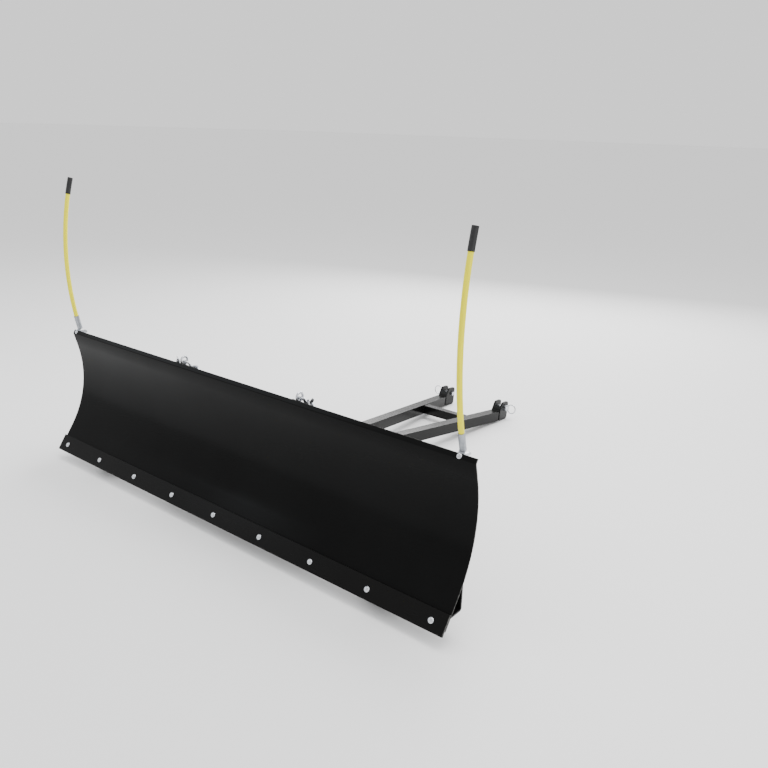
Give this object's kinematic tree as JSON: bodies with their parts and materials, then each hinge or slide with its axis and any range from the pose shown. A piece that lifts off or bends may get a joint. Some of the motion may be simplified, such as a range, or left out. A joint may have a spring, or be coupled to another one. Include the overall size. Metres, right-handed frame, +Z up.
{
  "type": "atv plow blade",
  "caption": "Snow plow for an ATV: curved steel blade with bolted wear bar, edge markers, sprung trip hinge, skid shoes, swivel head with latch, and a push frame that pins to the vehicle.",
  "frame": {"origin": "on the floor, midway across the blade and midway between the wear bar's lower edge and the rear of the clevises", "axes": "+X to the viewer's right when looking at the front of the blade, +Y to the rear along the push frame, +Z up; the blade faces -Y"},
  "size_m": [1.524, 1.3605, 0.8947],
  "materials": {
    "black_powder_coat": "gloss black powder coat",
    "wear_bar_black": "black paint on hot-rolled steel",
    "bright_zinc": "bright zinc plating",
    "dull_zinc": "dull grey zinc plating",
    "skid_cast_iron": "black cast iron, worn underneath",
    "marker_yellow": "yellow moulded plastic",
    "cap_black": "matte black rubber"
  },
  "bodies": {
    "push_frame": {"tongue_upper": "black_powder_coat", "tongue_lower": "black_powder_coat", "push_tube_left": "black_powder_coat", "push_tube_right": "black_powder_coat", "rear_cross_tube": "black_powder_coat", "king_bolt": "bright_zinc", "lift_loop": "black_powder_coat", "latch_housing": "black_powder_coat", "latch_spring": "bright_zinc", "mount_clevis_left": "black_powder_coat", "mount_clevis_right": "black_powder_coat"},
    "head": {"swivel_head": "black_powder_coat", "turntable_plate": "black_powder_coat", "trip_pin_left": "bright_zinc", "trip_pin_right": "bright_zinc", "trip_spring_left": "bright_zinc", "trip_spring_right": "bright_zinc"},
    "blade": {"lower_stiffener": "black_powder_coat", "marker_bolt_left": "bright_zinc", "marker_bolt_right": "bright_zinc", "marker_cap_left": "cap_black", "marker_cap_right": "cap_black", "marker_rod_left": "marker_yellow", "marker_rod_right": "marker_yellow", "marker_sleeve_left": "dull_zinc", "marker_sleeve_right": "dull_zinc", "marker_wing_nut_left": "bright_zinc", "marker_wing_nut_right": "bright_zinc", "mouldboard": "black_powder_coat", "rib_inner_left": "black_powder_coat", "rib_inner_right": "black_powder_coat", "rib_outer_left": "black_powder_coat", "rib_outer_right": "black_powder_coat", "skid_socket_left": "black_powder_coat", "skid_socket_right": "black_powder_coat", "spring_eyebolt_left": "bright_zinc", "spring_eyebolt_right": "bright_zinc", "wear_bar": "wear_bar_black", "wear_bar_bolt_1": "bright_zinc", "wear_bar_bolt_2": "bright_zinc", "wear_bar_bolt_3": "bright_zinc", "wear_bar_bolt_4": "bright_zinc", "wear_bar_bolt_5": "bright_zinc", "wear_bar_bolt_6": "bright_zinc", "wear_bar_bolt_7": "bright_zinc", "wear_bar_bolt_8": "bright_zinc", "wear_bar_bolt_9": "bright_zinc", "wing_bolt_left": "bright_zinc", "wing_bolt_right": "bright_zinc"},
    "skid_left": {"skid_shoe_left": "skid_cast_iron", "skid_spacers_left": "bright_zinc", "skid_lynch_pin_left": "bright_zinc"},
    "skid_right": {"skid_shoe_right": "skid_cast_iron", "skid_spacers_right": "bright_zinc", "skid_lynch_pin_right": "bright_zinc"},
    "latch": {"latch_pin": "bright_zinc"},
    "hitch_pin_left": {"hitch_pin_left": "bright_zinc"},
    "hitch_pin_right": {"hitch_pin_right": "bright_zinc"}
  },
  "joints": [
    {"name": "head_swivel", "type": "hinge", "parent": "push_frame", "child": "head", "pos_m": [0, -0.42051, 0.1205], "axis": [0, 0.0931, 0.9957], "range_deg": [-30, 30]},
    {"name": "blade_trip", "type": "hinge", "parent": "head", "child": "blade", "pos_m": [0, -0.55048, 0.10323], "axis": [1, 0, 0], "range_deg": [0, 35], "stiffness_Nm_per_rad": 250, "springref_deg": -20.63, "deforming": ["trip_spring_left", "trip_spring_right"]},
    {"name": "latch_pull", "type": "slide", "parent": "push_frame", "child": "latch", "axis": [0, 0.0931, 0.9957], "range_m": [0, 0.034], "stiffness_N_per_m": 1000, "springref_m": -0.02, "deforming": ["latch_spring"]},
    {"name": "skid_left_drop", "type": "slide", "parent": "blade", "child": "skid_left", "axis": [0, -0.1513, -0.9885], "range_m": [0, 0.024]},
    {"name": "skid_right_drop", "type": "slide", "parent": "blade", "child": "skid_right", "axis": [0, -0.1513, -0.9885], "range_m": [0, 0.024]},
    {"name": "hitch_pin_left_pull", "type": "slide", "parent": "push_frame", "child": "hitch_pin_left", "axis": [-1, 0, 0], "range_m": [0, 0.05]},
    {"name": "hitch_pin_right_pull", "type": "slide", "parent": "push_frame", "child": "hitch_pin_right", "axis": [1, 0, 0], "range_m": [0, 0.05]}
  ]
}
